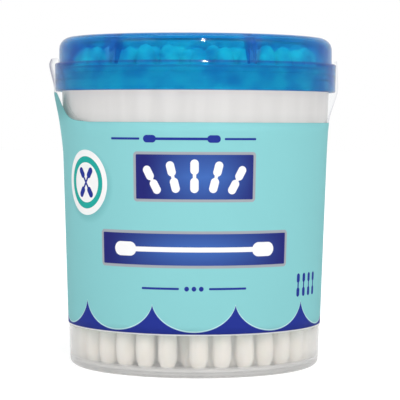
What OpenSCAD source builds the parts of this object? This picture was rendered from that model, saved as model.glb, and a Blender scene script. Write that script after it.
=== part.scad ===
// Round tub of cotton swabs: a tapered tub with a push-on lid, a wrapped film label with two
// ears beside the lid, and swabs that stand upright inside. Millimetres, +Z up. The origin is
// the centre of the foot, the front of the label faces -Y, and an azimuth is counted from the
// front towards +X.

/* [Swabs] */
// Number of swabs, as many as fit
swab_count = 100; // [20:1:160]
// Length of one swab over both heads
swab_l = 74; // [60:0.5:90]
// Diameter of a stick
stick_d = 2.3; // [1.8:0.1:2.8]
// Largest diameter of a cotton head
head_d = 4.5; // [3.8:0.1:5.4]
// Length of a cotton head along the stick
head_l = 13; // [9:0.5:16]
// Length over which a head thins down to its stick
taper_l = 5; // [2:0.5:6]
// Cotton beyond the end of the stick
tip_cover = 2; // [1:0.1:3]
// Free room between heads in the inner rings
head_room = 0.47; // [0.3:0.01:1]
// Free room between heads in the outermost ring
outer_room = 0.77; // [0.4:0.01:1.5]
// Angle of the one loose place in the outermost ring
loose_gap = 15.2; // [8:0.1:30]
// Azimuth of the swab to the right of the loose place
first_az = 2.5; // [0:0.1:60]

/* [Tub] */
// Outer radius that the wall's line has at the ground
tub_foot_r = 29.7; // [24:0.1:40]
// Lean of the wall outwards, in degrees
tub_draft = 1.9; // [1:0.1:3]
// Thickness of the wall
tub_wall = 0.8; // [0.5:0.05:1.2]
// Thickness of the floor
floor_t = 0.8; // [0.5:0.05:1.2]
// Outer rounding between the wall and the foot
foot_corner = 1.5; // [1.3:0.1:2.5]
// Width of the flat ring that the tub stands on
foot_ring_w = 2; // [1:0.1:4]
// How far the floor is raised above that ring
foot_recess = 0.6; // [0.3:0.1:1.2]
// Height of the thick band round the rim
rim_h = 1.6; // [1:0.1:2.5]
// How far that band stands out from the wall
rim_out = 0.3; // [0.2:0.05:0.6]

/* [Lid] */
// Thickness of the lid
lid_wall = 0.75; // [0.5:0.05:1.2]
// Height of the skirt below the shoulder
skirt_h = 6.65; // [5:0.05:10]
// Height of the crown above the shoulder
crown_h = 6.15; // [5:0.05:9]
// Width of the shoulder between the crown and the skirt
shoulder_w = 1; // [0.8:0.05:1.6]
// Outer rounding round the top of the crown
crown_corner = 2.8; // [1.5:0.1:3.5]
// Width of the flat ring round the sunk panel
crown_ring_w = 2.4; // [1:0.1:4]
// How far the top panel is sunk inside that ring
panel_recess = 0.9; // [0.5:0.1:2]
// How far the snap ring inside the skirt stands inwards
snap_in = 0.2; // [0.1:0.05:0.4]
// Height of the snap ring
snap_h = 1.4; // [0.8:0.1:2]
// Number of gussets inside the crown
gusset_count = 6; // [3:1:12]
// Thickness of a gusset
gusset_t = 1.6; // [0.8:0.1:2]
// Depth of a gusset at its lower end
gusset_foot_d = 1.2; // [0.8:0.1:1.8]
// Azimuth of one gusset
gusset_az = 24; // [0:1:60]

/* [Label] */
// Thickness of the film
film_t = 0.12; // [0.08:0.01:0.3]
// Height of the label's lower edge
label_foot = 9.8; // [4:0.1:20]
// Bare wall between the label and the lid
neck_h = 7.2; // [4:0.1:12]
// Width of the lap seam at the back
lap_w = 5; // [2:0.5:10]
// Azimuth of the left ear; the other ear is opposite
ear_az = -80; // [-110:1:-60]
// Half the width of an ear
ear_half_w = 10; // [3:0.5:12]
// Radius of the sweep from the label's top edge into an ear
ear_sweep = 7; // [3:0.5:12]
// Rounding of an ear's upper corners
ear_corner = 4; // [1:0.5:6]
// How far an ear reaches above the lid's shoulder
ear_over = 0.9; // [0:0.1:4]
// How far the left ear leans out over the skirt's height
left_flare = 1; // [0:0.1:2]
// How far the right ear leans out over the skirt's height
right_flare = 0.1; // [0:0.1:2]

/* [Fits] */
// Gap between the rim band and the snap ring as the lid passes
lid_slack = 0.25; // [0.2:0.05:0.5]
// Gap between the rim and the lid that rests on it
seat_gap = 0.2; // [0.1:0.05:0.3]
// Gap between the lid's skirt and the ears
ear_gap = 0.35; // [0.3:0.05:0.8]
// Layer of glue between the label and the wall
glue_t = 0.06; // [0.05:0.01:0.1]
// Gap between cotton and stick, and between a swab and the floor
touch_gap = 0.05; // [0.05:0.01:0.1]
// Gap between the outer swabs and the wall
wall_gap = 0.25; // [0.15:0.05:0.5]
// Gap between the swabs' tips and the lid's panel
tip_room = 0.6; // [0.4:0.1:3]
// Gap between the lid's gussets and the outermost swabs
gusset_gap = 0.1; // [0.05:0.05:0.3]

/* [Hidden] */
SECTORS = ["front", "front_right", "back_right", "back", "back_left", "front_left"];
$fn = 96;
arc_steps = 6;
// Height over the label's top edge at which an ear bends away from the wall
ear_bend = 0.3;
layout_seed = 7;

// Heights, from the ground up
floor_top = foot_recess + floor_t;
swab_foot = floor_top + touch_gap;
panel_under = swab_foot + swab_l + tip_room;
crown_top = panel_under + lid_wall + panel_recess;
shoulder_top = crown_top - crown_h;
shoulder_under = shoulder_top - lid_wall;
tub_h = shoulder_under - seat_gap;
skirt_foot = shoulder_top - skirt_h;
label_top = skirt_foot - neck_h;

// Radii, from the tub outwards
function wall_r(z) = tub_foot_r + z * tan(tub_draft);
wall_x = tub_wall / cos(tub_draft);
function inner_r(z) = wall_r(z) - wall_x;
rim_r = wall_r(tub_h) + rim_out;
rim_edge = 0.25;
skirt_in = rim_r + lid_slack + snap_in;
skirt_r = skirt_in + lid_wall;
crown_r = skirt_r - shoulder_w;
crown_in = crown_r - lid_wall;
skirt_edge = 0.4;
skirt_lean = 0.1;
panel_edge_r = crown_r - crown_corner - crown_ring_w;
foot_in_r = tub_foot_r - foot_corner - foot_ring_w;

// Points of an arc about c, from one angle to another
function arc(c, r, from, to, steps = arc_steps) =
    [for (i = [0:steps]) let (a = from + (to - from) * i / steps) c + r * [cos(a), sin(a)]];

// Centre radius of a corner of radius r that touches a leaning wall, at the height r above its foot
function corner_x(wall_at, r) = wall_at - r / cos(tub_draft);

module tub() {
    inner_corner = max(0.4, foot_corner - tub_wall);
    outer_x = corner_x(wall_r(foot_corner), foot_corner);
    inner_x = corner_x(inner_r(floor_top + inner_corner), inner_corner);
    color([0.90, 0.91, 0.90, 0.5])
        rotate_extrude()
            polygon(concat(
                [[0, foot_recess], [foot_in_r - foot_recess, foot_recess], [foot_in_r, 0]],
                arc([outer_x, foot_corner], foot_corner, -90, -tub_draft),
                [[wall_r(tub_h - rim_h), tub_h - rim_h]],
                arc([rim_r - rim_out, tub_h - rim_h + rim_out], rim_out, -90, 0, 3),
                arc([rim_r - rim_edge, tub_h - rim_edge], rim_edge, 0, 90, 3),
                [[inner_r(tub_h), tub_h]],
                arc([inner_x, floor_top + inner_corner], inner_corner, -tub_draft, -90),
                [[0, floor_top]]));
}

// The lid's shell in one turn: skirt, shoulder, crown, sunk panel, and back down the inside to the
// snap ring, whose section is an arc that stands in by snap_in over the height snap_h
module lid_shell() {
    inner_corner = crown_corner - lid_wall;
    snap_r = (snap_h * snap_h / 4 + snap_in * snap_in) / (2 * snap_in);
    snap_mid = tub_h - rim_h - snap_h / 2 - seat_gap;
    snap_half = asin(snap_h / 2 / snap_r);
    rotate_extrude()
        polygon(concat(
            [[skirt_in + skirt_edge / 2, skirt_foot], [skirt_r - skirt_edge / 2, skirt_foot]],
            [[skirt_r - skirt_lean, skirt_foot + skirt_edge]],
            arc([skirt_r - skirt_edge, shoulder_top - skirt_edge], skirt_edge, 0, 90, 3),
            [[crown_r, shoulder_top]],
            arc([crown_r - crown_corner, crown_top - crown_corner], crown_corner, 0, 90),
            [[panel_edge_r, crown_top], [panel_edge_r - panel_recess / 2, crown_top - panel_recess]],
            [[0, crown_top - panel_recess], [0, panel_under]],
            [[panel_edge_r - panel_recess / 2 + lid_wall / 2, panel_under]],
            [[panel_edge_r + lid_wall / 2, crown_top - lid_wall]],
            arc([crown_r - crown_corner, crown_top - crown_corner], inner_corner, 90, 0),
            [[crown_in, shoulder_under], [skirt_in, shoulder_under]],
            arc([skirt_in + snap_r - snap_in, snap_mid], snap_r, 180 - snap_half, 180 + snap_half),
            [[skirt_in, skirt_foot + skirt_edge]]));
}

// One gusset: a plate from the crown's wall, shallow at the shoulder and deep under the top. Its
// inner edge rises from its foot at the angle that just clears the round tips of the outermost swabs.
module gusset() {
    root = lid_wall / 2;
    foot = [crown_in - gusset_foot_d, shoulder_under];
    to_tip = [swab_reach, swab_foot + swab_l - head_d / 2] - foot;
    lean = atan2(to_tip[1], to_tip[0]) - asin((head_d / 2 + gusset_gap) / norm(to_tip));
    top_r = foot[0] + (crown_top - lid_wall - shoulder_under) / tan(lean);
    rotate([90, 0, 0])
        linear_extrude(height = gusset_t, center = true)
            polygon([[crown_in + root, crown_top - crown_corner],
                     [crown_r - crown_corner, crown_top - root],
                     [top_r, crown_top - root],
                     [top_r, crown_top - lid_wall],
                     foot,
                     [crown_in + root, shoulder_under]]);
}

module lid() {
    color([0.05, 0.50, 0.85, 0.6])
        union() {
            lid_shell();
            for (i = [0:gusset_count - 1])
                rotate([0, 0, gusset_az - 90 + i * 360 / gusset_count]) gusset();
        }
}

// Section of the film: up the wall, and on beside the lid as far as the end of an ear
module film_section(flare) {
    foot = wall_r(label_foot) + glue_t;
    bend = wall_r(label_top + ear_bend) + glue_t;
    at_skirt = skirt_r + ear_gap;
    below = skirt_foot - ear_gap;
    above = shoulder_top + ear_over;
    polygon([[foot, label_foot], [foot + film_t, label_foot], [bend + film_t, label_top + ear_bend],
             [at_skirt + film_t, below], [at_skirt + flare + film_t, above],
             [at_skirt + flare, above], [at_skirt, below], [bend, label_top + ear_bend]]);
}

// Outline of half the label with its ear, seen square on: x along the label, y up
module half_outline() {
    top = shoulder_top + ear_over;
    side = concat([[skirt_r + ear_gap, label_foot - 1], [skirt_r + ear_gap, label_top]],
                  arc([ear_half_w + ear_sweep, label_top + ear_sweep], ear_sweep, -90, -180),
                  arc([ear_half_w - ear_corner, top - ear_corner], ear_corner, 0, 90));
    polygon(concat(side, [for (i = [len(side) - 1:-1:0]) [-side[i][0], side[i][1]]]));
}

// The half of the label round one ear: the film's section turned half round and cut to its outline
module label_half(az, flare) {
    intersection() {
        rotate([0, 0, az + 180])
            rotate_extrude(angle = 180) film_section(flare);
        rotate([0, 0, az])
            rotate([90, 0, 0])
                linear_extrude(height = skirt_r + left_flare + right_flare + 1) half_outline();
    }
}

// The outer end of the film where it laps over the inner end, at the back
module lap() {
    foot = wall_r(label_foot) + glue_t;
    top = wall_r(label_top) + glue_t;
    rotate([0, 0, 90 - lap_w / top * 180 / PI])
        rotate_extrude(angle = lap_w / top * 180 / PI)
            polygon([[foot + film_t / 2, label_foot], [foot + film_t * 2, label_foot],
                     [top + film_t * 2, label_top], [top + film_t / 2, label_top]]);
}

module label() {
    color([0.55, 0.83, 0.84])
        union() {
            label_half(ear_az, left_flare);
            label_half(ear_az + 180, right_flare);
            lap();
        }
}

// Swab layout: one swab in the middle, then full rings from the wall inwards, then what is left
ring_pitch = head_d + head_room;
outer_ring_r = inner_r(floor_top + head_d / 2) - head_d / 2 - wall_gap;
ring_turn = 37;
function ring_r(k) = outer_ring_r - k * ring_pitch;
function step_angle(r, pitch) = 2 * asin(pitch / 2 / r);
function ring_fit(k) = k == 0 ? floor((360 - loose_gap) / step_angle(ring_r(0), head_d + outer_room)) + 1
                              : floor(360 / step_angle(ring_r(k), ring_pitch));
function fill_rings(k, left) = left <= 0 || ring_r(k) < ring_pitch ? [] :
    let (n = min(ring_fit(k), left)) concat([n], fill_rings(k + 1, left - n));
ring_counts = fill_rings(0, swab_count - 1);
function ring_az(k, i) = k == 0 ? first_az + i * (360 - loose_gap) / (ring_counts[0] - 1)
                                : ring_turn * k + i * 360 / ring_counts[k];
places = concat([[0, 0]],
                [for (k = [0:len(ring_counts) - 1], i = [0:ring_counts[k] - 1])
                     [ring_r(k), ring_az(k, i)]]);

// Small sideways shifts of each swab's foot and top, so that the rows look packed by machine and
// shaken, and not drawn. They stay under the free room between the heads.
foot_shift = 0.1;
top_shift = 0.2;
shifts = rands(-1, 1, 4 * len(places), layout_seed);
top_spread = 1.012;
// Farthest from the tub's axis that the upper end of a swab's own axis can lean
swab_reach = outer_ring_r * top_spread + top_shift * norm([1, 1]);
function polar(r, az) = [r * sin(az), -r * cos(az)];
function foot_at(i) = polar(places[i][0], places[i][1]) + foot_shift * [shifts[4 * i], shifts[4 * i + 1]];
function top_at(i) = polar(places[i][0] * top_spread, places[i][1])
                     + top_shift * [shifts[4 * i + 2], shifts[4 * i + 3]];
function turned(az) = az - 360 * floor(az / 360);
function sector_of(i) = floor(turned(places[i][1] + 30) / 60);

// Puts its children at swab i, with z along the swab from its lower tip
module at_swab(i) {
    lean = top_at(i) - foot_at(i);
    translate([foot_at(i)[0], foot_at(i)[1], swab_foot])
        rotate([0, asin(norm(lean) / swab_l), atan2(lean[1], lean[0])])
            children();
}

module in_sector(s) {
    for (i = [0:len(places) - 1])
        if (sector_of(i) == s) at_swab(i) children();
}

module stick() {
    translate([0, 0, tip_cover]) cylinder(d = stick_d, h = swab_l - 2 * tip_cover);
}

// One cotton head, tip down, wound over the end of the stick: a round tip, an even body and a
// taper that ends just outside the stick
module head() {
    head_r = head_d / 2;
    socket_r = stick_d / 2 + touch_gap;
    neck_r = socket_r + 0.2;
    rotate_extrude()
        difference() {
            union() {
                intersection() {
                    translate([0, head_r]) circle(r = head_r);
                    square(head_r);
                }
                polygon([[0, head_r], [head_r, head_r], [head_r, head_l - taper_l],
                         [neck_r, head_l], [0, head_l]]);
            }
            translate([0, tip_cover - touch_gap]) square([socket_r, head_l]);
        }
}

module sticks(s) {
    color([0.93, 0.93, 0.92]) in_sector(s) stick();
}

module lower_cotton(s) {
    color([0.97, 0.97, 0.96]) in_sector(s) head();
}

module upper_cotton(s) {
    color([0.97, 0.97, 0.96]) in_sector(s) translate([0, 0, swab_l]) mirror([0, 0, 1]) head();
}

tub();
lid();
label();
for (s = [0:len(SECTORS) - 1]) {
    sticks(s);
    lower_cotton(s);
    upper_cotton(s);
}
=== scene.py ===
# %% [markdown]
# # A tub of cotton swabs
# The real object is a thin clear tub, tapered like a bucket, with a blue lid pressed over its rim, a
# printed film wrapped round its wall, and a hundred swabs standing inside. The tub, the lid and the
# sticks are rigid, so their shapes come from the frame and only get a finish here. The cotton and
# the film are soft, so they are modelled here, in the places that the frame gives them.

# %% Load the frame
import math
import random

import bmesh
import bpy
from mathutils import Matrix, Vector, noise


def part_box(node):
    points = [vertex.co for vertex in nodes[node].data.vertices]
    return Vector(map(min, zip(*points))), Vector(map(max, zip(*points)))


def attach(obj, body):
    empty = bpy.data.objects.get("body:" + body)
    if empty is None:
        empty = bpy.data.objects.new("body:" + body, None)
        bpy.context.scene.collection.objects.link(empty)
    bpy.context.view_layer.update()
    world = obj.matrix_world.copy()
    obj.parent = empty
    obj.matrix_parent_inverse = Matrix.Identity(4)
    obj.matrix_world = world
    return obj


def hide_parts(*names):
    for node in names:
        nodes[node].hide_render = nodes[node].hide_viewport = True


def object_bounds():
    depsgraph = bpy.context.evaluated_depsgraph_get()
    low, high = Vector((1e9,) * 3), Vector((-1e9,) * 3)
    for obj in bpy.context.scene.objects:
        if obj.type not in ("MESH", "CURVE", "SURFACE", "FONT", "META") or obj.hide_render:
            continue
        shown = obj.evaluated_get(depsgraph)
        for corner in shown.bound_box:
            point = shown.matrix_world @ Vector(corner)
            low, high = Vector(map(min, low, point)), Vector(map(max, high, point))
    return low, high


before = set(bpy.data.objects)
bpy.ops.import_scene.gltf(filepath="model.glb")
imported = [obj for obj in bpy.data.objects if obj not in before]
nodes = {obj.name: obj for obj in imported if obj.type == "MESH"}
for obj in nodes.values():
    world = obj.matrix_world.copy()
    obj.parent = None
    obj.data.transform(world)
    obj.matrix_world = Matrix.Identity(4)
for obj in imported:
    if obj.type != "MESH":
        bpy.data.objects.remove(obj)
cad_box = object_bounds()
MM = 0.001
TUB_BODY = "tub_and_swabs"

# %% [markdown]
# ## Measures from the frame
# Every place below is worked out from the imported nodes, so that a piece sits where the frame has it.
# A node's box gives its lowest and highest corner. The wall of the tub is a cone, so two radii of the
# label, one at its foot and one at its top edge, give the wall's line at any height.

# %% Measure the wall, the label and the lid


def front_points(node, half_width):
    """Corners of a node's mesh near the front line of the tub."""
    return [v.co for v in nodes[node].data.vertices if abs(v.co.x) < half_width and v.co.y < 0]


def radius(point):
    return math.hypot(point.x, point.y)


ground_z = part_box("tub")[0].z
skirt_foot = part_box("lid")[0].z
label_low, label_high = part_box("label")
label_front = front_points("label", 6 * MM)
label_foot = label_low.z
label_top = max(p.z for p in label_front)
foot_r = min(radius(p) for p in label_front if p.z < label_foot + 0.1 * MM)
top_r = min(radius(p) for p in label_front if p.z > label_top - 0.6 * MM)
wall_slope = (top_r - foot_r) / (label_top - label_foot)
ear_top = label_high.z


def wall_r(z):
    """Radius of the inside of the film at a height where it lies on the wall."""
    return foot_r + (z - label_foot) * wall_slope


print("label from", label_foot, "to", label_top, "ears to", ear_top, "radii", foot_r, top_r)

# %% [markdown]
# ## Formulas in a material
# A pattern is easiest to read as a formula, but a shader is a web of nodes. This small class wraps
# the output socket of a node, and the usual signs on it add Math nodes.

# %% Arithmetic on sockets


class Wire:
    """The output of a node; arithmetic on it adds Math nodes."""

    def __init__(self, finish, socket):
        self.finish = finish
        self.socket = socket

    def math(self, operation, *terms):
        return self.finish.node("ShaderNodeMath", {"operation": operation}, terms)

    def __add__(self, other):
        return self.math("ADD", self, other)

    __radd__ = __add__

    def __sub__(self, other):
        return self.math("SUBTRACT", self, other)

    def __rsub__(self, other):
        return self.math("SUBTRACT", other, self)

    def __mul__(self, other):
        return self.math("MULTIPLY", self, other)

    __rmul__ = __mul__

    def __truediv__(self, other):
        return self.math("DIVIDE", self, other)

    def __rtruediv__(self, other):
        return self.math("DIVIDE", other, self)

    def __pow__(self, other):
        return self.math("POWER", self, other)

    def __abs__(self):
        return self.math("ABSOLUTE", self)

    def root(self):
        return self.math("SQRT", self)

    def least(self, other):
        return self.math("MINIMUM", self, other)

    def most(self, other):
        return self.math("MAXIMUM", self, other)

    def clipped(self):
        return self.most(0.0).least(1.0)


# %% [markdown]
# ## A material under construction
# One method, `node`, adds any node. Its choices are set first, such as the operation of a Math node,
# because they decide which inputs it has. The other methods are what several finishes share: a place
# on the piece, soft noise, a bump, a blend of two colours or two shaders, and a plastic that the eye
# sees while lamplight passes through it.

# %% Nodes by name


class Finish:
    """A material under construction."""

    def __init__(self, name):
        self.material = bpy.data.materials.new(name)
        self.material.use_nodes = True
        self.tree = self.material.node_tree
        self.tree.nodes.clear()
        self.output = self.tree.nodes.new("ShaderNodeOutputMaterial")

    @classmethod
    def on(cls, tree):
        """The same helpers for a node tree that exists, such as the world's."""
        made = cls.__new__(cls)
        made.tree = tree
        return made

    def node(self, kind, settings=None, inputs=(), output=0):
        """Adds a node, sets its choices, then its inputs by number or by name, and returns one output."""
        made = self.tree.nodes.new(kind)
        for key, value in (settings or {}).items():
            setattr(made, key, value)
        pairs = inputs.items() if isinstance(inputs, dict) else enumerate(inputs)
        for key, value in pairs:
            socket = made.inputs[key]
            if isinstance(value, Wire):
                self.tree.links.new(value.socket, socket)
            elif isinstance(value, tuple) and socket.type == "RGBA":
                socket.default_value = (*value, 1)
            else:
                socket.default_value = value
        return Wire(self, made.outputs[output])

    def blend_colour(self, share, first, second):
        """The first colour where share is 0 and the second where it is 1."""
        inputs = {0: share, 6: first, 7: second}
        return self.node("ShaderNodeMix", {"data_type": "RGBA", "clamp_factor": True}, inputs, 2)

    def place(self, scale=(1.0, 1.0, 1.0)):
        """The point on the piece, in its own frame, scaled."""
        where = self.node("ShaderNodeTexCoord", output="Object")
        return self.node("ShaderNodeMapping", {}, {"Vector": where, "Scale": scale})

    def grain(self, where, size, detail=2.0, rough=0.5):
        """Soft noise from 0 to 1 with lumps of about the given size in metres."""
        inputs = {"Vector": where, "Scale": 1 / size, "Detail": detail, "Roughness": rough}
        return self.node("ShaderNodeTexNoise", {}, inputs)

    def bump(self, height, strength, distance):
        inputs = {"Height": height, "Strength": strength, "Distance": distance}
        return self.node("ShaderNodeBump", {}, inputs)

    def principled(self, **inputs):
        """A Principled shader; coat_weight here is its input Coat Weight, and so on."""
        named = {key.replace("_", " ").title().replace("Ior", "IOR"): value
                 for key, value in inputs.items()}
        return self.node("ShaderNodeBsdfPrincipled", {}, named)

    def mixed(self, share, first, second):
        return self.node("ShaderNodeMixShader", {}, [share, first, second])

    def for_light(self, shader, tint):
        """Lets lamplight and soft light pass straight through with a tint; the eye sees the shader."""
        clear = self.node("ShaderNodeBsdfTransparent", {}, {"Color": tint})
        for kind in ("Is Diffuse Ray", "Is Shadow Ray"):
            shader = self.mixed(self.node("ShaderNodeLightPath", output=kind), shader, clear)
        return shader

    def finished(self, shader):
        self.tree.links.new(shader.socket, self.output.inputs["Surface"])
        return self.material


# %% [markdown]
# ## Written colours
# An eye-dropper reads a picture's colours, which are coded for screens. Shaders add and multiply
# light itself, so a colour that is known from a picture is decoded first.

# %% Decode a colour


def srgb(red, green, blue):
    """A colour given from 0 to 255, in the linear light that shaders use."""
    shares = [c / 255 for c in (red, green, blue)]
    return tuple(c / 12.92 if c < 0.04045 else ((c + 0.055) / 1.055) ** 2.4 for c in shares)


# %% [markdown]
# ## The camera
# The picture looks at the tub almost level, from about half a metre, with the eye a little below the
# lid. That shows the lid from slightly under its top and the foot from slightly above. The numbers
# are the eye's distance and height, the tilt, the lens, and a very small roll.

# %% Place the camera
EYE_DISTANCE = 432 * MM
EYE_HEIGHT = 57.9 * MM
TILT_DOWN = math.radians(2.5)
ROLL = math.radians(0.3)
AIM_ASIDE = 1.25 * MM
LENS = 162

camera = bpy.data.objects.new("camera", bpy.data.cameras.new("camera"))
bpy.context.scene.collection.objects.link(camera)
turn = Matrix.Rotation(math.pi / 2 - TILT_DOWN, 4, "X") @ Matrix.Rotation(ROLL, 4, "Z")
camera.matrix_world = Matrix.Translation((AIM_ASIDE, -EYE_DISTANCE, EYE_HEIGHT)) @ turn
camera.data.lens = LENS
camera.data.sensor_width = 36
camera.data.clip_start = 0.01
bpy.context.scene.camera = camera
view_width = EYE_DISTANCE * camera.data.sensor_width / LENS
print("the view at the tub's axis is", round(view_width / MM, 1), "mm wide")

# %% [markdown]
# ## Floor and backdrop
# The object stands on a white ground with no edge in sight. The world is white to the eye and to
# reflections, but lights the object at a lower level, so pale plastic keeps its shading. The floor
# works the same way: to the eye it adds a little light of its own to what falls on it, so that it
# meets the white backdrop and still keeps a soft shadow round the foot.

# %% Make the world and the floor
AMBIENT = 0.30
scene = bpy.context.scene
scene.view_settings.view_transform = "Standard"


def seen_directly(tree):
    """1 for the eye, for reflections and for sight through plastic, and 0 for light that falls."""
    finish = Finish.on(tree)
    path = tree.nodes.new("ShaderNodeLightPath")
    eye, glossy, through = (
        Wire(finish, path.outputs[f"Is {kind} Ray"]) for kind in ("Camera", "Glossy", "Transmission"))
    return eye.most(glossy).most(through)


world = bpy.data.worlds.new("white studio")
world.use_nodes = True
scene.world = world
back = world.node_tree.nodes["Background"]
back.inputs["Color"].default_value = (1, 1, 1, 1)
strength = seen_directly(world.node_tree).most(AMBIENT)
world.node_tree.links.new(strength.socket, back.inputs["Strength"])

FLOOR_SIZE = 6.0
FLOOR_WHITE = 0.92
FLOOR_SHOWN = 0.43
GLOW_NEAR, GLOW_FAR = 0.72, 0.95
GLOW_REACH = 0.5
bm = bmesh.new()
bmesh.ops.create_grid(bm, x_segments=1, y_segments=1, size=FLOOR_SIZE / 2)
floor = bpy.data.objects.new("floor", bpy.data.meshes.new("floor"))
bm.to_mesh(floor.data)
bm.free()
scene.collection.objects.link(floor)
floor.location.z = ground_z

ground = Finish("floor")
matt = ground.node("ShaderNodeBsdfDiffuse", {}, {"Color": (FLOOR_WHITE,) * 3})
dim = ground.node("ShaderNodeBsdfDiffuse", {}, {"Color": (FLOOR_WHITE * FLOOR_SHOWN,) * 3})
spot = ground.node("ShaderNodeTexCoord", output="Object")
away = ground.node("ShaderNodeVectorMath", {"operation": "LENGTH"}, [spot], "Value")
glow = ground.node("ShaderNodeEmission", {}, {"Color": ground.blend_colour(
    away / GLOW_REACH, (GLOW_NEAR,) * 3, (GLOW_FAR,) * 3), "Strength": 1.0})
lit = ground.node("ShaderNodeAddShader", {}, [dim, glow])
floor.data.materials.append(ground.finished(ground.mixed(seen_directly(ground.tree), matt, lit)))
print("floor at", round(ground_z, 5), "soft light at", AMBIENT)

# %% [markdown]
# ## Lamps
# Two broad fills, one on each side, light the label evenly. The key and the low key are small, and
# their heights are chosen. The rounded edges of the lid's crown and of its shoulder are rows of narrow
# cones, and a cone that faces up by some angle sends a lamp's light level to the eye when the lamp
# hangs at about twice that angle. So each of the two edges gets one small highlight, a little right
# of the middle. A long lamp overhead and a soft one behind keep the top and the back from going dull.

# %% Hang the lamps


def softbox(name, azimuth, elevation, distance, width, height, watts):
    """A lamp that faces the middle of the tub; azimuth 0 is the front, and 90 the right."""
    lamp = bpy.data.lights.new(name, "AREA")
    lamp.shape = "RECTANGLE"
    lamp.size, lamp.size_y = width, height
    lamp.energy = watts
    hung = bpy.data.objects.new(name, lamp)
    across, up = math.radians(azimuth), math.radians(elevation)
    towards = Vector((math.sin(across) * math.cos(up), -math.cos(across) * math.cos(up), math.sin(up)))
    middle = Vector((0, 0, (cad_box[0].z + cad_box[1].z) / 2))
    hung.matrix_world = Matrix.Translation(middle + towards * distance) @ towards.to_track_quat(
        "Z", "Y").to_matrix().to_4x4()
    scene.collection.objects.link(hung)
    return hung


LAMPS = [
    # name, azimuth, elevation, distance, width, height, watts
    ("key", 8, 47.6, 0.9, 0.04, 0.02, 0.7),
    ("low_key", 8, 32.6, 0.9, 0.06, 0.024, 2.3),
    ("left_fill", -58, 42, 1.1, 0.5, 0.5, 3.0),
    ("right_fill", 58, 42, 1.1, 0.5, 0.5, 2.7),
    ("overhead", 0, 89, 1.2, 1.5, 0.25, 2.4),
    ("back_fill", 176, 62, 1.2, 0.6, 0.6, 2.2),
]
for lamp in LAMPS:
    softbox(*lamp)
print("lamps", [(lamp[0], lamp[-1]) for lamp in LAMPS])

# %% [markdown]
# ## Frosted tub
# The tub is natural polypropylene, a milky plastic that is clear only against what touches it. Part
# of its light passes through a slightly rough wall, which blurs the swabs with their distance, and
# part scatters in the plastic, which makes it pale. So the finish mixes a clear plastic with a milky
# one. The share of milk grows towards the rim, where the wall is thicker, and again in the last
# millimetres above the ground, where the eye looks through the rounded foot and along the floor.
# Faint upright stripes in the milk are painted shade, standing for the sticks seen behind it. Lamplight
# passes straight through, as a thin wall hardly dims it.

# %% Finish the tub
MILK_LOW, MILK_HIGH = 0.2, 0.74
MILK_FROM, MILK_TO = 40 * MM, 60 * MM
FOOT_MILK = 0.55
FOOT_FROM, FOOT_TO = 2.8 * MM, 1.2 * MM
CLEAR_TINT = (0.98, 0.97, 0.95)
# The milk's colour runs between these two in faint upright stripes, painted shade for the sticks behind the
# wall.
MILK_DIM, MILK_PALE = (0.64, 0.632, 0.626), (0.755, 0.745, 0.738)
THROUGH_TUB = (0.97, 0.97, 0.965)


def tub_plastic():
    finish = Finish("frosted_polypropylene")
    place = finish.place()
    cloud = finish.grain(place, 6 * MM)
    height = finish.node("ShaderNodeSeparateXYZ", {}, [place], 2)
    gloss = {"ior": 1.3, "coat_weight": 0.4, "coat_roughness": 0.06, "coat_ior": 1.4}
    clear = finish.principled(
        base_color=CLEAR_TINT,
        roughness=0.22 + 0.04 * cloud,
        transmission_weight=1.0,
        **gloss,
    )
    # Painted shade: faint upright stripes for the sticks seen through the wall.
    stick_stripe_shade = finish.grain(finish.place((1.0, 1.0, 0.12)), 4 * MM)
    milk = finish.principled(
        base_color=finish.blend_colour(stick_stripe_shade, MILK_DIM, MILK_PALE),
        roughness=0.5 + 0.06 * cloud,
        **gloss,
    )
    upwards = ((height - MILK_FROM) / (MILK_TO - MILK_FROM)).clipped()
    foot = ((height - FOOT_FROM) / (FOOT_TO - FOOT_FROM)).clipped()
    milkiness = MILK_LOW + (MILK_HIGH - MILK_LOW) * upwards + FOOT_MILK * foot
    return finish.finished(finish.for_light(finish.mixed(milkiness, clear, milk), THROUGH_TUB))


def paint(name, material):
    """Gives a node of the frame its finish, in all its slots."""
    for slot in nodes[name].material_slots:
        slot.material = material
    print(name, "is finished in", material.name)


paint("tub", tub_plastic())

# %% [markdown]
# ## Blue lid
# The lid is clear polypropylene with a blue dye. The dye sits in the plastic and not on it, so the
# colour deepens with the length of the way through. Two things make it so. The base colour tints the
# light at the lid's faces and takes out its red, and a weak absorbing volume deepens the long ways
# through a wall or a gusset that is seen edge-on.
#
# The base colour varies as the moulding does. It has soft clouds where the plastic flowed, calmer on
# the top and darker in the skirt. Narrow darker bands are painted shade: at the shoulder's edge, where
# the tub's rim lies behind the skirt, and at the skirt's foot, for the dark lines that these edges show
# seen edge-on or through the skirt. The crown's wall is darker blue where a gusset joins it, which is
# painted shade too, for the long way that the eye takes along the gusset, on top of the darkening that
# the absorbing volume gives there.

# %% Find the gussets from inside the material
SHOULDER = 71.4 * MM
GUSSETS = (24, 84, 144)
GUSSET_HALF = 1.25 * MM
GUSSET_WIDENS = 0.16
GUSSET_FROM_R = 28 * MM
GUSSET_FADE = 1.0 * MM
GUSSET_SOFT = 0.25 * MM
# How strongly the gussets' painted shade covers the dye.
GUSSET_SHADE_SHARE = 0.8


def gusset_shade_mask(x, y, height):
    """1 on the wall that a gusset joins, where its painted shade goes; each azimuth in GUSSETS stands for two
    opposite gussets.
    """
    aside = [abs(x * math.cos(a) + y * math.sin(a)) for a in map(math.radians, GUSSETS)]
    half = GUSSET_HALF + GUSSET_WIDENS * (height - SHOULDER)
    nearest = aside[0].least(aside[1]).least(aside[2])
    outer = (((x * x + y * y).root() - GUSSET_FROM_R) / GUSSET_FADE).clipped()
    return ((half - nearest) / GUSSET_SOFT + 0.5).clipped() * outer


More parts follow.
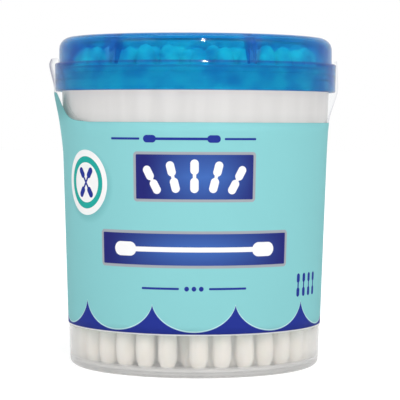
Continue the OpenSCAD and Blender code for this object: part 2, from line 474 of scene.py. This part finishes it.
# %% Finish the lid
CROWN_EDGE = 75.2 * MM
SKIRT_DEEPER = 0.4
TOP_CALMER = 0.75
DYE_DEEP, DYE_LIGHT = (0.002, 0.29, 0.675), (0.010, 0.66, 0.90)
# Painted shade: the darker blue that the crown's wall takes where a gusset joins it.
GUSSET_SHADE_BLUE = (0.05, 0.34, 0.74)
# Painted shade: the darker blue of narrow bands at the shoulder's edge, at the tub's rim behind the skirt and
# at the skirt's foot.
EDGE_SHADE_BLUE = (0.03, 0.09, 0.50)
EDGE_SHADE_BANDS = [(71.3 * MM, 0.4 * MM, 0.6), (70.2 * MM, 0.4 * MM, 0.35), (skirt_foot, 0.35 * MM, 0.45)]
THROUGH_LID = (0.95, 0.95, 0.92)


def lid_plastic():
    finish = Finish("blue_polypropylene")
    x, y, height = (finish.node("ShaderNodeSeparateXYZ", {}, [finish.place()], k) for k in range(3))
    in_skirt = ((SHOULDER - height) / (0.3 * MM)).clipped()
    on_top = ((height - CROWN_EDGE) / (1.0 * MM)).clipped()
    flow = ((finish.grain(finish.place((1.0, 1.0, 1.5)), 6 * MM) - 0.34) / 0.32).clipped()
    flow = flow * (1 - SKIRT_DEEPER * in_skirt) * (1 - TOP_CALMER * on_top) + 0.5 * TOP_CALMER * on_top
    dyed = finish.blend_colour(flow, DYE_DEEP, DYE_LIGHT)
    # Painted shade: darker blue on the crown's wall where the gussets join it.
    painted_gusset_shade = GUSSET_SHADE_SHARE * gusset_shade_mask(x, y, height) * (1 - in_skirt)
    dyed = finish.blend_colour(painted_gusset_shade, dyed, GUSSET_SHADE_BLUE)
    # Painted shade: dark lines along the skirt's edges, and where the tub's rim lies behind it.
    painted_edge_shade = 0.0
    for middle, half, share in EDGE_SHADE_BANDS:
        painted_edge_shade = (1 - abs(height - middle) / half).clipped() * share + painted_edge_shade
    shader = finish.principled(
        base_color=finish.blend_colour(painted_edge_shade, dyed, EDGE_SHADE_BLUE),
        roughness=0.18 + 0.07 * flow,
        ior=1.12,
        transmission_weight=0.88,
        coat_weight=0.22,
        coat_roughness=0.05,
        coat_ior=1.3,
    )
    dye = finish.node("ShaderNodeVolumeAbsorption", {}, {"Color": (0.76, 0.76, 0.925), "Density": 800.0})
    finish.tree.links.new(dye.socket, finish.output.inputs["Volume"])
    return finish.finished(finish.for_light(shader, THROUGH_LID))


paint("lid", lid_plastic())

# %% [markdown]
# ## Sticks
# The sticks are thin white tubes of plastic or rolled paper, with a faint satin shine.

# %% Finish the sticks
STICK_SHADE, STICK_LIGHT = (0.80, 0.80, 0.78), (0.88, 0.88, 0.86)


def stick_plastic():
    finish = Finish("white_stick")
    streak = finish.grain(finish.place((1.0, 1.0, 0.05)), 0.5 * MM)
    shader = finish.principled(
        base_color=finish.blend_colour(streak, STICK_SHADE, STICK_LIGHT),
        roughness=0.42 + 0.1 * streak,
        normal=finish.bump(streak, 0.15, 0.05 * MM),
    )
    return finish.finished(shader)


sticks = stick_plastic()
stick_nodes = sorted(name for name in nodes if name.startswith("sticks_"))
for name in stick_nodes:
    paint(name, sticks)

# %% [markdown]
# ## Where the swabs stand
# A cotton head needs the place of its tip and the direction of its stick. Both are in the frame: the
# two end faces of a stick are flat, so the corners of the mesh at one height fall into small rings,
# one for each stick. The middle of a ring is a point of the stick's axis.

# %% Find the swabs' axes
END_SLACK = 0.25 * MM
END_REACH = 2.8 * MM


def centres(points, reach):
    """Middles of the clusters that points form when each lies within reach of its cluster's first."""
    clusters = []
    for point in points:
        for cluster in clusters:
            if (cluster[0] - point).length < reach:
                cluster.append(point)
                break
        else:
            clusters.append([point])
    return [sum(cluster, Vector()) / len(cluster) for cluster in clusters]


def stick_axes(name):
    """For each stick of a node, the middle of its lower end and of its upper end."""
    low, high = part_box(name)
    points = [v.co.copy() for v in nodes[name].data.vertices]
    feet = centres([p for p in points if p.z < low.z + END_SLACK], END_REACH)
    tops = centres([p for p in points if p.z > high.z - END_SLACK], END_REACH)
    return [(foot, min(tops, key=lambda top: (top - foot).xy.length)) for foot in feet]


axes = {name.removeprefix("sticks_"): stick_axes(name) for name in stick_nodes}
print("sticks", {name: len(found) for name, found in axes.items()})

# %% [markdown]
# ## Cotton heads
# A head is loose fibre wound round the end of the stick and set with a little steam: a blunt egg that
# thins towards the stick, never quite round. One outline of a few points is spun round the axis, and
# its rings are then pushed in and out a little by a smooth noise, differently on each head. Two
# hundred heads would be heavy if each were fine, so a head has few faces and smooth shading.

# %% Spin one head
HEAD_OUTLINE = [  # distance from the tip and radius, in millimetres
    (0.0, 0.0), (0.35, 1.05), (1.1, 1.72), (2.6, 2.18), (5.2, 2.25), (8.2, 2.05), (10.8, 1.62), (13.0, 1.22)]
HEAD_SIDES = 12


def spun_head():
    """The mesh of one head, with its tip at the origin and its stick along +Z."""
    bm = bmesh.new()
    outline = [bm.verts.new((r * MM, 0, z * MM)) for z, r in HEAD_OUTLINE]
    edges = [bm.edges.new(pair) for pair in zip(outline, outline[1:])]
    bmesh.ops.spin(bm, geom=outline + edges, axis=(0, 0, 1), cent=(0, 0, 0), angle=math.tau,
                   steps=HEAD_SIDES, use_merge=True)
    bmesh.ops.remove_doubles(bm, verts=bm.verts, dist=0.01 * MM)
    bmesh.ops.recalc_face_normals(bm, faces=bm.faces)
    mesh = bpy.data.meshes.new("head")
    bm.to_mesh(mesh)
    bm.free()
    return mesh


plain_head = spun_head()
print("faces of a head", len(plain_head.polygons))

# %% Wind a group of heads
HEAD_LUMP = 0.10 * MM
LUMP_SIZE = 2.2 * MM
POLE_R = 0.5 * MM
random.seed(11)


def wind(name, ends):
    """One object with a head for each (tip, direction) in ends."""
    whole = bmesh.new()
    for tip, along in ends:
        whole.from_mesh(plain_head)
        swing = Matrix.Rotation(random.uniform(0, math.tau), 4, "Z")
        aim = along.to_track_quat("Z", "Y").to_matrix().to_4x4()
        offset = Vector([random.uniform(0, 50) for axis in range(3)])
        whole.verts.ensure_lookup_table()
        fresh = whole.verts[-len(plain_head.vertices):]
        for v in fresh:
            push = noise.noise(v.co / LUMP_SIZE + offset) * HEAD_LUMP - HEAD_LUMP / 2
            if v.co.xy.length > POLE_R:
                v.co.xy += v.co.xy.normalized() * push
        bmesh.ops.transform(whole, matrix=Matrix.Translation(tip) @ aim @ swing, verts=fresh)
    for face in whole.faces:
        face.smooth = True
    mesh = bpy.data.meshes.new(name)
    whole.to_mesh(mesh)
    whole.free()
    made = bpy.data.objects.new(name, mesh)
    scene.collection.objects.link(made)
    return made


# %% [markdown]
# ## Cotton
# Wound cotton is matt and slightly warm, with fibres that run round the head and tufts a few
# millimetres apart. A little sheen and a little light inside the fibre keep its shade soft.

# %% Finish the cotton
COTTON_WARM, COTTON_PALE = (0.945, 0.875, 0.80), (0.98, 0.935, 0.875)


def cotton():
    finish = Finish("wound_cotton")
    fibre = finish.grain(finish.place((1.0, 1.0, 3.2)), 0.55 * MM, 6.0, 0.65)
    tuft = finish.grain(finish.place(), 1.8 * MM)
    shader = finish.principled(
        base_color=finish.blend_colour(tuft, COTTON_WARM, COTTON_PALE),
        roughness=0.95,
        sheen_weight=0.25,
        sheen_roughness=0.6,
        specular_ior_level=0.1,
        subsurface_weight=0.25,
        subsurface_radius=Vector((0.6, 0.5, 0.4)) * MM,
        subsurface_scale=1.0,
        normal=finish.bump(fibre + 0.6 * tuft, 0.55, 0.12 * MM),
    )
    return finish.finished(shader)


# %% [markdown]
# ## Heads on their sticks
# The upper and the lower heads of each sixth of the tub are one object, as they are one node of the
# frame. The lower tips all stand at one height, on the floor. The swabs aren't all equally long, so
# each upper head sits up to a millimetre or so lower than the highest.

# %% Set the heads on the sticks
HEAD_SINK = 1.2 * MM
wool = cotton()
for sector, found in axes.items():
    for side, which, other in (("lower", 0, 1), ("upper", 1, 0)):
        node = f"{side}_cotton_{sector}"
        low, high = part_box(node)
        tip_height = low.z if side == "lower" else high.z
        ends = []
        for pair in found:
            along = (pair[other] - pair[which]).normalized()
            past = abs(tip_height - pair[which].z)
            if side == "upper":
                past -= random.uniform(0, HEAD_SINK)
            tip = pair[which] - along * past
            ends.append((tip, along))
        heads = wind(f"cotton_{side}_{sector}", ends)
        heads.data.materials.append(wool)
        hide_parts(node)
        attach(heads, TUB_BODY)
print("heads", 2 * sum(len(found) for found in axes.values()))

# %% [markdown]
# ## The film, flat
# The label is one strip of thin film. It is cut flat first, as the real one is: a long strip with two
# ears on its upper edge, which later stand up beside the lid. The strip starts as a grid in degrees
# round the tub and millimetres of height. For each ear the edges of its stretch of the upper rim are
# extruded row by row, and every row is squeezed to the width that the outline has at its height: a
# round sweep, a straight neck, and round corners.

# %% Outline an ear
DEGREE = 2.5
LAP = 9.0
EAR_AZ = {"left": -80.0, "right": 100.0}
EAR_HALF = 10.0
SWEEP = 7.0
CORNER = 4.0
MM_PER_DEGREE = math.radians(1) * top_r / MM


def ear_rows():
    """Heights and half widths of an ear's rows, in millimetres, from the strip's edge upwards."""
    foot, top = label_top / MM, ear_top / MM
    rows = []
    for k in range(1, 10):
        a = math.radians(10 * k)
        rows.append((foot + SWEEP * (1 - math.cos(a)), EAR_HALF + SWEEP * (1 - math.sin(a))))
    straight = top - CORNER - rows[-1][0]
    for k in range(1, 4):
        rows.append((rows[-1][0] + straight / 4, EAR_HALF))
    for k in range(0, 9):
        a = math.radians(90 / 8 * k)
        rows.append((top - CORNER + CORNER * math.sin(a), EAR_HALF - CORNER + CORNER * math.cos(a)))
    return rows


print("rows of an ear", len(ear_rows()))


# %% Cut the strip and its ears
def flat_film():
    """The strip in degrees (x) and millimetres of height (y)."""
    start, end = -180.0 - LAP, 180.0
    foot, top = label_foot / MM, label_top / MM
    columns, rows = round((end - start) / DEGREE), 22
    bm = bmesh.new()
    bmesh.ops.create_grid(bm, x_segments=columns, y_segments=rows, size=0.5)
    for v in bm.verts:
        v.co.x = start + (v.co.x + 0.5) * (end - start)
        v.co.y = foot + (v.co.y + 0.5) * (top - foot)
    reach = (EAR_HALF + SWEEP) / MM_PER_DEGREE
    for centre in EAR_AZ.values():
        edge = [e for e in bm.edges if all(
            abs(v.co.y - top) < 1e-4 and abs(v.co.x - centre) <= reach + DEGREE / 2 for v in e.verts)]
        spread = max(abs(v.co.x - centre) for e in edge for v in e.verts)
        shares = {v: (v.co.x - centre) / spread for e in edge for v in e.verts}
        for height, half in ear_rows():
            made = bmesh.ops.extrude_edge_only(bm, edges=edge)["geom"]
            fresh = {}
            for v in (g for g in made if isinstance(g, bmesh.types.BMVert)):
                below = min(shares, key=lambda old: (old.co - v.co).length)
                fresh[v] = shares[below]
            for v, share in fresh.items():
                v.co.x = centre + share * half / MM_PER_DEGREE
                v.co.y = height
            shares = fresh
            edge = [g for g in made if isinstance(g, bmesh.types.BMEdge)
                    and all(v in fresh for v in g.verts)]
    return bm


# %% [markdown]
# ## The film, wrapped
# Wrapping turns degrees and heights into places on the cone of the wall. The film is glued to the wall
# but springs away from it below each ear, passes outside the lid's skirt, and stands free. The left
# ear leans out, and the right one bows and comes back, so each has its own line of radii by height.
# The flat place of every corner is kept in an attribute, because the print is laid out on it.

# %% Bend the ears
EAR_LINES = {  # heights and radii in millimetres; no radius where the film is still on the wall
    "left": [(50.5, None), (57.9, 32.38), (64.6, 33.66), (66.4, 33.74), (69.2, 34.42), (71.3, 34.80),
             (72.45, 34.4)],
    "right": [(52.0, None), (58.5, 32.0), (62.0, 33.0), (65.2, 33.98), (68.5, 33.92), (72.45, 33.74)],
}


def eased(t):
    t = min(1.0, max(0.0, t))
    return t * t * (3 - 2 * t)


def lifted_r(line, z):
    """Radius of an ear's middle line at a height, from its list of heights and radii."""
    known = [(h * MM, wall_r(h * MM) if r is None else r * MM) for h, r in line]
    if z <= known[0][0]:
        return wall_r(z)
    for i in range(len(known) - 1):
        (h0, r0), (h1, r1) = known[i], known[i + 1]
        if z <= h1:
            before = known[i - 1] if i else (h0 - 5 * MM, wall_r(h0 - 5 * MM))
            after = known[i + 2] if i + 2 < len(known) else (h1 + (h1 - h0), r1 + (r1 - r0) * 0.3)
            m0 = (r1 - before[1]) / (h1 - before[0]) * (h1 - h0)
            m1 = (after[1] - r0) / (after[0] - h0) * (h1 - h0)
            t = (z - h0) / (h1 - h0)
            # A smooth curve through both points, with its slopes from their neighbours
            return (r0 * (2 * t**3 - 3 * t**2 + 1) + m0 * (t**3 - 2 * t**2 + t)
                    + r1 * (3 * t**2 - 2 * t**3) + m1 * (t**3 - t**2))
    return known[-1][1]


for side, line in EAR_LINES.items():
    print(side, "ear leans to a radius of", round(max(lifted_r(line, z * MM) for z in range(58, 73)) / MM, 2))

# %% Wrap the film round the tub
FILM_T = 0.12 * MM
EAR_EASE = (EAR_HALF + 1.0, EAR_HALF + SWEEP + 3.0)
LAP_RISE = FILM_T + 0.03 * MM
LAP_FROM, LAP_OVER = -176, 3


def film_r(az, z):
    """Radius of the film's inner face."""
    base = wall_r(z)
    r = base
    for side, centre in EAR_AZ.items():
        off = abs((az - centre + 180) % 360 - 180) * MM_PER_DEGREE
        near, far = EAR_EASE
        lift = (lifted_r(EAR_LINES[side], z) - base) * (1 - eased((off - near) / (far - near)))
        r = max(r, base + lift)
    return r + LAP_RISE * eased((LAP_FROM - az) / LAP_OVER)


def wrapped_film():
    bm = flat_film()
    flat = bm.verts.layers.float_vector.new("flat")
    for v in bm.verts:
        az, z = v.co.x, v.co.y * MM
        v[flat] = (az * MM_PER_DEGREE, v.co.y, 0)
        r = film_r(az, z)
        v.co = (r * math.sin(math.radians(az)), -r * math.cos(math.radians(az)), z)
    bm.normal_update()
    for face in bm.faces:
        face.smooth = True
        if face.normal.xy.dot(face.calc_center_median().xy) < 0:
            face.normal_flip()
    mesh = bpy.data.meshes.new("label_film")
    bm.to_mesh(mesh)
    bm.free()
    film = bpy.data.objects.new("label_film", mesh)
    scene.collection.objects.link(film)
    wall = film.modifiers.new("thickness", "SOLIDIFY")
    wall.thickness = FILM_T
    wall.offset = 1
    return film


# %% [markdown]
# ## The print
# The print is flat colour and simple shapes, so each shape is a distance: how far a point of the film
# lies outside it, in millimetres. Ink covers where the distance is negative, and a band of a few
# hundredths round zero keeps its edge smooth. Boxes, bars, rings and a scalloped hem are all that
# the layout needs, and a swab is a bar with two thick ends.

# %% Shapes for the print
INK_EDGE = 0.06


class Print:
    """Flat shapes on the film, in millimetres: u round the tub from the front line, v above the floor."""

    def __init__(self, finish):
        self.finish = finish
        where = finish.node("ShaderNodeAttribute", {"attribute_name": "flat"}, output="Vector")
        self.u, self.v = (finish.node("ShaderNodeSeparateXYZ", {}, [where], k) for k in (0, 1))

    def box(self, centre, size, corner):
        """Distance outside a box with round corners."""
        across = abs(self.u - centre[0]) - (size[0] / 2 - corner)
        up = abs(self.v - centre[1]) - (size[1] / 2 - corner)
        outside = (across.most(0.0) ** 2.0 + up.most(0.0) ** 2.0).root()
        return outside + across.most(up).least(0.0) - corner

    def bar(self, start, end, half_width):
        """Distance outside a bar with round ends."""
        run = (end[0] - start[0], end[1] - start[1])
        length2 = run[0] ** 2 + run[1] ** 2
        along = (((self.u - start[0]) * run[0] + (self.v - start[1]) * run[1]) / length2).clipped()
        across = self.u - start[0] - along * run[0]
        up = self.v - start[1] - along * run[1]
        return (across * across + up * up).root() - half_width

    def disc(self, centre, size):
        across, up = self.u - centre[0], self.v - centre[1]
        return (across * across + up * up).root() - size

    def swab(self, centre, length, angle, head=1.0, stick=0.4):
        """Distance outside a swab: a thin bar with a thick short bar at each end."""
        a = math.radians(angle)
        tip = (math.cos(a) * length / 2, math.sin(a) * length / 2)
        inner = 1 - 3.2 * head / length
        low = (centre[0] - tip[0], centre[1] - tip[1])
        high = (centre[0] + tip[0], centre[1] + tip[1])
        shape = self.bar(low, high, stick)
        for side in (-1, 1):
            outer_end = (centre[0] + side * tip[0], centre[1] + side * tip[1])
            inner_end = (centre[0] + side * tip[0] * inner, centre[1] + side * tip[1] * inner)
            shape = shape.least(self.bar(outer_end, inner_end, head))
        return shape

    def ink(self, distance, edge=INK_EDGE):
        """1 inside the shape and 0 outside."""
        return (0.5 - distance / edge).clipped()


# %% [markdown]
# ## Layout of the print
# The ground is aqua over the whole strip. On it lie two navy panels with silver frames, a round
# badge, thin ornaments, and a scalloped navy hem over a narrow unprinted edge. Each is laid over the
# colour that is there, so the order of the steps is the order of the inks.

# %% Inks and places
AQUA = srgb(139, 206, 209)
AQUA_SHADE = srgb(60, 140, 145)
AQUA_LIGHT = srgb(190, 228, 232)
NAVY = srgb(40, 54, 146)
PANEL_EDGE = srgb(40, 43, 116)
PANEL_LIGHT = srgb(68, 108, 184)
SILVER = srgb(163, 168, 176)
TEAL = srgb(40, 170, 160)
WHITE = (0.94, 0.94, 0.94)
UPPER_PANEL = ((0.0, 45.5), (27.4, 10.0))
LOWER_PANEL = ((0.0, 29.2), (46.2, 7.1))
PANEL_CORNER = 0.25
FRAME_WIDTH = 0.62
BADGE = (-29.2, 43.8)
BADGE_R = 7.5
BADGE_RINGS = ((BADGE_R, WHITE), (BADGE_R - 1.5, TEAL), (BADGE_R - 2.9, WHITE))
FAN_GAP, FAN_LENGTH, FAN_TURN = 4.9, 5.6, 14
TOP_SWAB = (-3.0, 54.0)
LINES = [((-16.5, 54.0), (7.5, 0.5)), ((10.5, 54.0), (7.5, 0.5)),
         ((-8.0, 20.4), (9.0, 0.5)), ((8.0, 20.4), (9.0, 0.5))]
DOTS = [(-1.7, 20.4), (0.0, 20.4), (1.7, 20.4)]
TALLY = [(28.5 + 2.4 * k, 20.4) for k in range(4)]
print("panels", UPPER_PANEL, LOWER_PANEL, "badge", BADGE, "small marks", len(LINES + DOTS + TALLY))

# %% Panels, badge and small marks


def panel(finish, sheet, colour, place, light_at):
    """A navy panel with a silver frame and a lighter middle, over the colour that is there."""
    centre, size = place
    shape = sheet.box(centre, size, PANEL_CORNER)
    across = abs(sheet.u - light_at) / (size[0] / 2)
    glow = (1 - across * across).clipped() * (1 - 0.35 * abs(sheet.v - centre[1]) / (size[1] / 2))
    navy = finish.blend_colour(glow.clipped() ** 1.6, PANEL_EDGE, PANEL_LIGHT)
    colour = finish.blend_colour(sheet.ink(shape - FRAME_WIDTH), colour, SILVER)
    return finish.blend_colour(sheet.ink(shape), colour, navy)


def fan_of_swabs(sheet, middle):
    """Distance outside five short swabs that spread from the middle of the upper panel."""
    fan = None
    for step in range(-2, 3):  # from the left swab to the right one, turned less and set higher inwards
        place = (middle[0] + FAN_GAP * step, middle[1] + 0.2 - 0.22 * step * step)
        one = sheet.swab(place, FAN_LENGTH - 0.3 * abs(step), 90 - FAN_TURN * step, 0.95, 0.38)
        fan = one if fan is None else fan.least(one)
    return fan


def small_marks(sheet):
    """Distance outside the navy ornaments: a swab between lines, dots between lines, and a tally."""
    marks = sheet.swab(TOP_SWAB, 16.0, 0, 0.85, 0.3)
    for centre, size in LINES:
        marks = marks.least(sheet.box(centre, size, 0.2))
    for centre in DOTS:
        marks = marks.least(sheet.disc(centre, 0.55))
    for centre in TALLY:
        marks = marks.least(sheet.swab(centre, 4.2, 90, 0.6, 0.25))
    return marks


def badge(finish, sheet, colour):
    for size, ink in BADGE_RINGS:
        colour = finish.blend_colour(sheet.ink(sheet.disc(BADGE, size)), colour, ink)
    crossed = sheet.swab(BADGE, 6.6, 55, 0.75, 0.28).least(sheet.swab(BADGE, 6.6, 125, 0.75, 0.28))
    return finish.blend_colour(sheet.ink(crossed), colour, NAVY)


# %% Scalloped hem, and all the inks in order
SCALLOPS = 10
SCALLOP_FOOT = 10.55
SCALLOP_CUSP = 16.6
SCALLOP_ROUND = 0.97
SCALLOP_LINE = 0.28
HEM = 0.3


def scalloped_hem(sheet):
    """Height above the hem's upper line: equal round scallops that meet in points."""
    period = 360 / SCALLOPS * MM_PER_DEGREE
    turn = sheet.finish.node("ShaderNodeMath", {"operation": "PINGPONG"}, [sheet.u, period / 2])
    share = turn / (period / 2)
    rise = 1 - (1 - share * share * SCALLOP_ROUND).root()
    full = 1 - math.sqrt(1 - SCALLOP_ROUND)
    return sheet.v - (SCALLOP_FOOT + (SCALLOP_CUSP - SCALLOP_FOOT) * rise / full)


def label_colour(finish, sheet):
    shadow = sheet.ink(sheet.disc((BADGE[0] + 0.7, BADGE[1] - 0.8), BADGE_R), 2.4)
    colour = finish.blend_colour(0.35 * shadow, AQUA, AQUA_SHADE)
    colour = panel(finish, sheet, colour, UPPER_PANEL, UPPER_PANEL[0][0] + 2.0)
    colour = panel(finish, sheet, colour, LOWER_PANEL, LOWER_PANEL[0][0] + 1.0)
    colour = finish.blend_colour(sheet.ink(fan_of_swabs(sheet, UPPER_PANEL[0])), colour, WHITE)
    long_swab = sheet.swab(LOWER_PANEL[0], 36.0, 0, 1.6, 0.55)
    colour = finish.blend_colour(sheet.ink(long_swab), colour, WHITE)
    colour = finish.blend_colour(sheet.ink(small_marks(sheet)), colour, NAVY)
    colour = badge(finish, sheet, colour)
    hem = scalloped_hem(sheet)
    colour = finish.blend_colour(sheet.ink(hem - SCALLOP_LINE), colour, AQUA_LIGHT)
    colour = finish.blend_colour(sheet.ink(hem), colour, NAVY)
    return finish.blend_colour(sheet.ink(sheet.v - (label_foot / MM + HEM)), colour, WHITE)


# %% [markdown]
# ## Film finish
# The film is clear, with the ink behind its gloss, and the ink runs up on the left ear in a low hump
# and leaves the rest of both ears bare. Three things make it film and not paper. Bare film is all but
# invisible face on, and shows grey where it is seen edge-on; this grey is a painted reflection of dark
# surroundings, and the free upper end of the left ear takes more of it. Lamplight reaches the tub
# through the print, tinted. And the hump, which has only air behind it, takes some of its light from
# its other side.

# %% Finish the film
# Painted reflection: the grey that bare film shows where it is seen edge-on, for the dark surroundings it
# reflects.
THIN, DEEP = (0.985, 0.99, 0.99), (0.60, 0.60, 0.66)
LIT_THROUGH = (0.5, 0.60, 0.60)
HUMP_GLOW = 0.3
HUMP_FADE = 3
HUMP_HALF = 6.0
HUMP_RISE = 6.9
HUMP_EDGE = 0.15
# Where the free upper end of the left ear starts to take more of the painted grey.
GREY_TIP_FROM, GREY_TIP_OVER = 65.5, 2


def bare_ears(sheet):
    """1 where the film is printed, 0 above the edge of the ground, which humps up on the left ear."""
    off = (sheet.u - EAR_AZ["left"] * MM_PER_DEGREE) / HUMP_HALF
    hump = label_top / MM + HUMP_RISE / (1 + (off * off) ** 2.0)
    return sheet.ink(sheet.v - hump, HUMP_EDGE)


def label_film():
    finish = Finish("printed_film")
    sheet = Print(finish)
    wave = finish.grain(finish.place(), 9 * MM)
    relief = finish.bump(wave, 0.12, 0.3 * MM)
    printed = finish.principled(
        base_color=label_colour(finish, sheet),
        roughness=0.56 + 0.08 * wave,
        ior=1.3,
        specular_ior_level=0.1,
        normal=relief,
    )
    glowing = finish.node("ShaderNodeBsdfTranslucent", {}, {"Color": AQUA})
    on_hump = ((sheet.v - label_top / MM) / HUMP_FADE).clipped()
    printed = finish.mixed(HUMP_GLOW * on_hump, printed, glowing)
    edge_on = finish.node("ShaderNodeLayerWeight", {}, {"Blend": 0.5}, "Facing")
    thin, deep = (finish.node("ShaderNodeBsdfTransparent", {}, {"Color": tint}) for tint in (THIN, DEEP))
    gloss = finish.node("ShaderNodeBsdfGlossy", {}, {"Roughness": 0.12, "Normal": relief})
    # Painted reflection: the free upper end of the left ear shows more grey where it is seen edge-on.
    free_tip_grey = (-1 - sheet.u).clipped() * ((sheet.v - GREY_TIP_FROM) / GREY_TIP_OVER).clipped()
    clear = finish.mixed((0.3 + 0.7 * free_tip_grey) * edge_on ** 8.0, thin, deep)
    clear = finish.mixed(0.02 * edge_on ** 2.0, clear, gloss)
    printed = finish.for_light(printed, LIT_THROUGH)
    return finish.finished(finish.mixed(bare_ears(sheet), clear, printed))


# %% [markdown]
# ## The label in place
# The film takes the place of the frame's plain label and rides on the tub, with both its ears.

# %% Put the label on the tub
film = wrapped_film()
film.data.materials.append(label_film())
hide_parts("label")
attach(film, TUB_BODY)
print("film faces", len(film.data.polygons))
